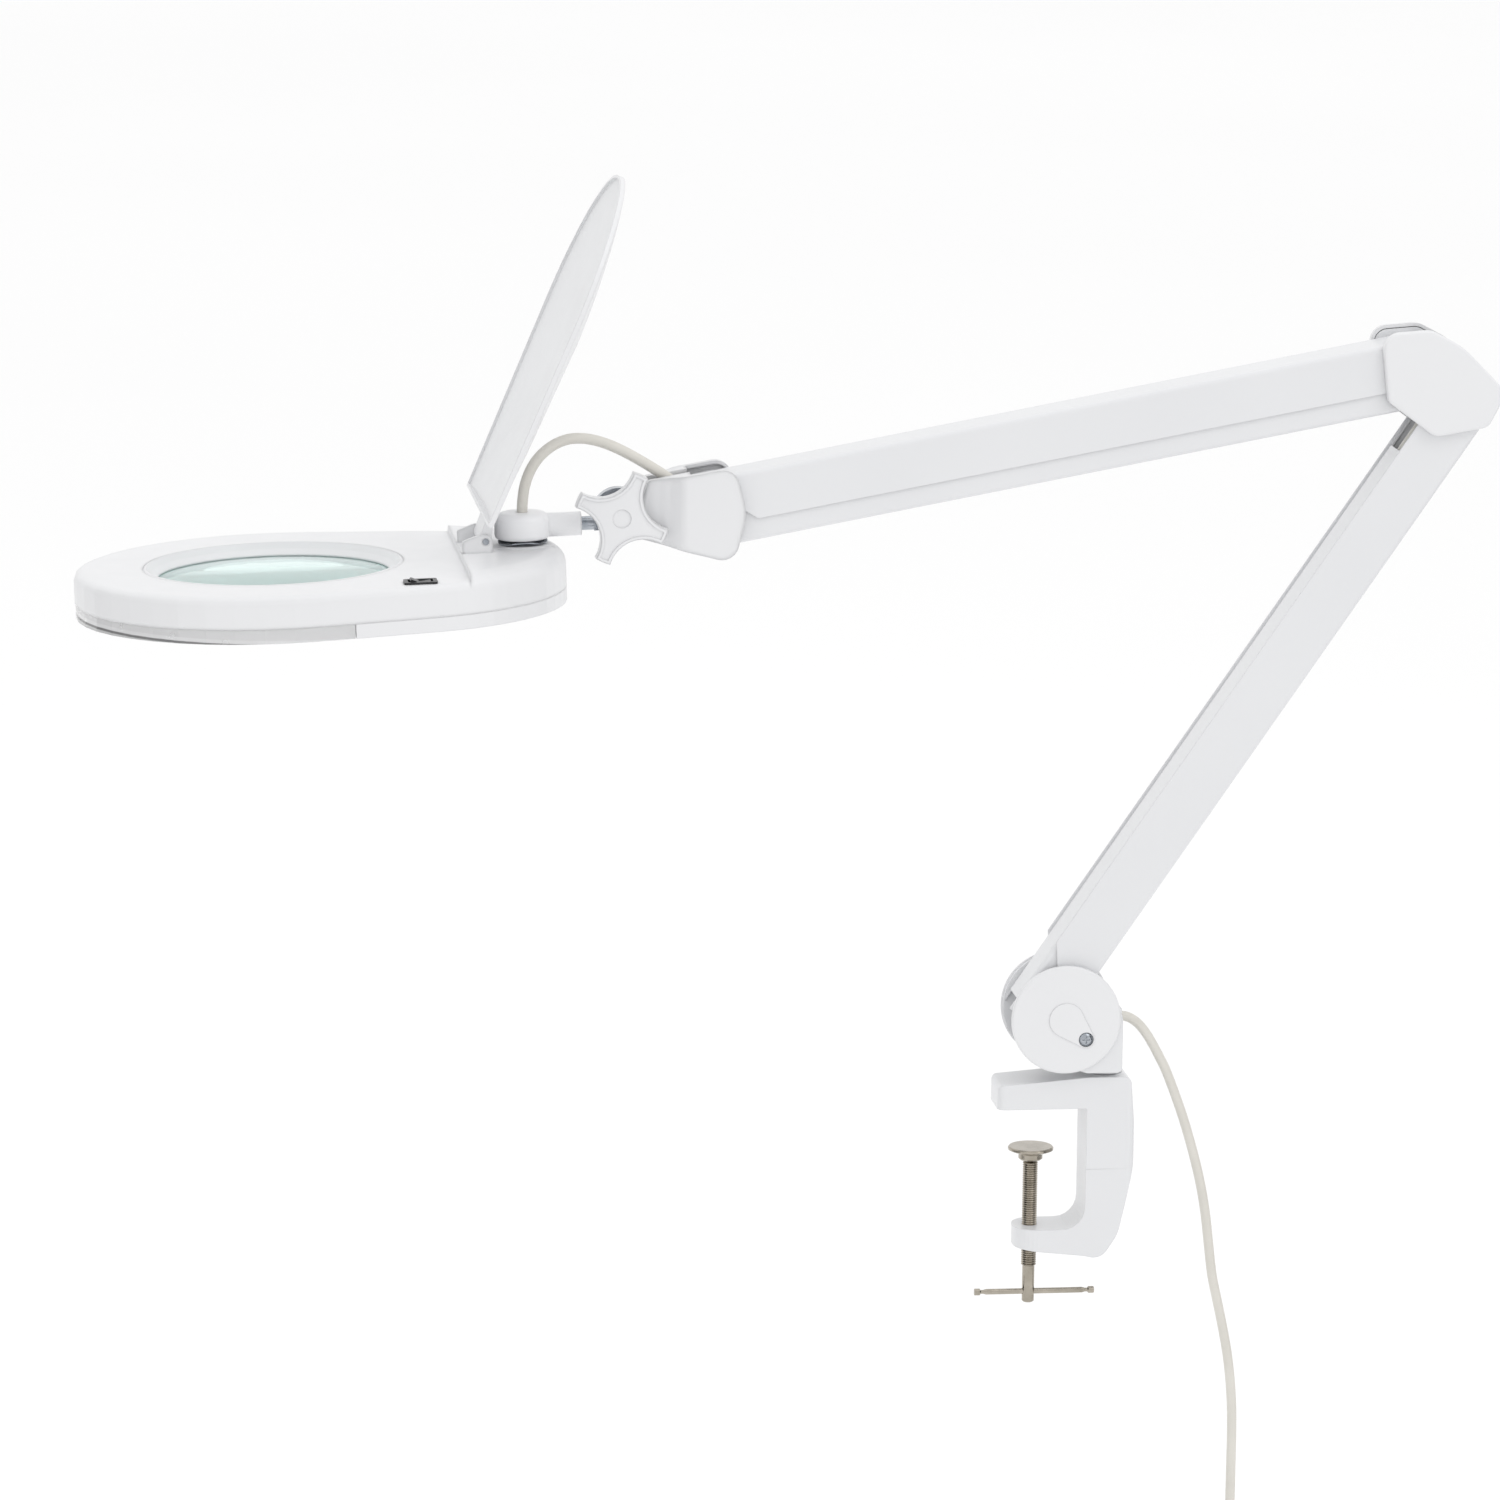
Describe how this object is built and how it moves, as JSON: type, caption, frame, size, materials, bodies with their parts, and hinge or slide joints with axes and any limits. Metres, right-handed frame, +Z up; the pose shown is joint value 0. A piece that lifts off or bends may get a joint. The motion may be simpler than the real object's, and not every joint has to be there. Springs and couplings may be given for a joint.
{
  "type": "swing arm desk lamp",
  "caption": "Clamp-on magnifier lamp with two covered spring-balanced parallelogram arms, a round lens head on a tilting neck, and an open hinged lens cover.",
  "frame": {"origin": "table top, under the clamp's upper jaw on the clamp screw's axis", "axes": "+Z up out of the table top, +X away from the table along the arms' plane, +Y to the back"},
  "size_m": [0.9197, 0.2536, 1.0289],
  "materials": {
    "white_paint": "satin",
    "white_plastic": "satin",
    "zinc_steel": "satin",
    "nickel_steel": "satin",
    "cord": "satin",
    "black_plastic": "satin",
    "brass": "satin",
    "clear_plastic": "polished",
    "lens_glass": "polished",
    "board": "matte",
    "led": "satin",
    "green_board": "satin"
  },
  "bodies": {
    "clamp": {"clamp_frame": "white_paint", "swivel_bush": "white_plastic"},
    "pad": {"pressure_pad": "nickel_steel"},
    "screw": {"clamp_screw": "nickel_steel"},
    "tommy_bar": {"tommy_bar": "nickel_steel"},
    "base": {"base_housing": "white_paint", "base_cover_near": "white_plastic", "base_cover_far": "white_plastic", "base_cover_screws": "zinc_steel", "base_pivot_pins": "zinc_steel", "base_spring_anchor": "zinc_steel", "swivel_pin": "zinc_steel", "swivel_washer": "white_plastic", "cord_gland": "white_plastic", "mains_cord": "cord", "cord_coil": "cord", "cord_tie": "black_plastic", "plug_body": "cord", "plug_prongs": "brass"},
    "lower_arm": {"lower_channel": "white_paint", "lower_springs": "zinc_steel", "lower_spring_bar": "zinc_steel"},
    "lower_link": {"lower_link": "white_paint", "lower_cable": "cord"},
    "elbow": {"elbow_plates": "white_paint", "elbow_pins": "zinc_steel", "elbow_spring_anchor": "zinc_steel", "elbow_cover_near": "white_plastic", "elbow_cover_far": "white_plastic"},
    "upper_arm": {"upper_channel": "white_paint", "upper_springs": "zinc_steel", "upper_spring_bar": "zinc_steel"},
    "upper_link": {"upper_link": "white_paint", "upper_cable": "cord"},
    "bracket": {"bracket_plates": "white_paint", "bracket_pins": "zinc_steel", "bracket_cover_near": "white_plastic", "bracket_cover_far": "white_plastic", "knob_bolt": "zinc_steel"},
    "knob": {"star_knob": "white_plastic"},
    "neck": {"eye_rod": "zinc_steel", "neck_dome": "white_plastic", "head_cable": "cord", "swivel_stud": "zinc_steel", "swivel_nut": "zinc_steel"},
    "head": {"head_housing": "white_plastic", "head_base": "white_plastic", "diffuser_ring": "clear_plastic", "lens": "lens_glass", "lens_bezel": "white_plastic", "led_board": "board", "leds": "led", "driver_board": "green_board", "switch_body": "black_plastic", "hinge_pin": "zinc_steel", "housing_screws": "zinc_steel", "wave_washer": "zinc_steel"},
    "rocker": {"switch_rocker": "black_plastic"},
    "lid": {"lens_cover": "white_plastic"}
  },
  "joints": [
    {"name": "pad_travel", "type": "slide", "parent": "clamp", "child": "pad", "axis": [0, 0, 1], "range_m": [-0.035, 0.02]},
    {"name": "screw_turn", "type": "hinge", "parent": "pad", "child": "screw", "pos_m": [0, 0, -0.06], "axis": [0, 0, 1], "range_deg": [-8405, 4805]},
    {"name": "bar_slide", "type": "slide", "parent": "screw", "child": "tommy_bar", "axis": [1, 0, 0], "range_m": [-0.034, 0.026]},
    {"name": "base_swivel", "type": "hinge", "parent": "clamp", "child": "base", "pos_m": [0.048, 0, 0.023], "axis": [0, 0, 1], "range_deg": [-120, 120]},
    {"name": "lower_arm", "type": "hinge", "parent": "base", "child": "lower_arm", "pos_m": [0.0122, 0, 0.0654], "axis": [0, 1, 0], "range_deg": [-40, 12], "deforming": ["lower_springs"]},
    {"name": "lower_inner", "type": "hinge", "parent": "base", "child": "lower_link", "pos_m": [-0.00528, 0, 0.07176], "axis": [0, 1, 0], "range_deg": [-40, 12]},
    {"name": "elbow", "type": "hinge", "parent": "lower_arm", "child": "elbow", "pos_m": [0.28031, 0, 0.45992], "axis": [0, 1, 0], "range_deg": [-12, 40]},
    {"name": "upper_arm", "type": "hinge", "parent": "elbow", "child": "upper_arm", "pos_m": [0.23591, 0, 0.49712], "axis": [0, 1, 0], "range_deg": [-12, 45], "deforming": ["upper_springs"]},
    {"name": "upper_inner", "type": "hinge", "parent": "elbow", "child": "upper_link", "pos_m": [0.23837, 0, 0.46903], "axis": [0, 1, 0], "range_deg": [-12, 45]},
    {"name": "head_bracket", "type": "hinge", "parent": "upper_arm", "child": "bracket", "pos_m": [-0.21586, 0, 0.41053], "axis": [0, 1, 0], "range_deg": [-45, 12]},
    {"name": "head_tilt", "type": "hinge", "parent": "bracket", "child": "neck", "pos_m": [-0.27586, 0, 0.39553], "axis": [0, 1, 0], "range_deg": [-75, 40], "deforming": ["head_cable"]},
    {"name": "tilt_knob", "type": "hinge", "parent": "bracket", "child": "knob", "pos_m": [-0.27586, 0, 0.39553], "axis": [0, 1, 0], "continuous": true},
    {"name": "head_swivel", "type": "hinge", "parent": "neck", "child": "head", "pos_m": [-0.33704, 0, 0.37938], "axis": [-0.0349, 0, 0.9994], "range_deg": [-30, 30]},
    {"name": "lens_cover", "type": "hinge", "parent": "head", "child": "lid", "pos_m": [-0.36261, 0, 0.38109], "axis": [0, 1, 0], "range_deg": [-115, 0]},
    {"name": "switch", "type": "hinge", "parent": "head", "child": "rocker", "pos_m": [-0.40909, -0.096, 0.36546], "axis": [0, 1, 0], "range_deg": [-14, 0]}
  ],
  "couplings": [
    {"joint": "screw_turn", "follows": "pad_travel", "rad_per_m": 4188.8},
    {"joint": "lower_inner", "follows": "lower_arm", "ratio": 1},
    {"joint": "elbow", "follows": "lower_arm", "ratio": -1},
    {"joint": "upper_inner", "follows": "upper_arm", "ratio": 1},
    {"joint": "head_bracket", "follows": "upper_arm", "ratio": -1}
  ]
}
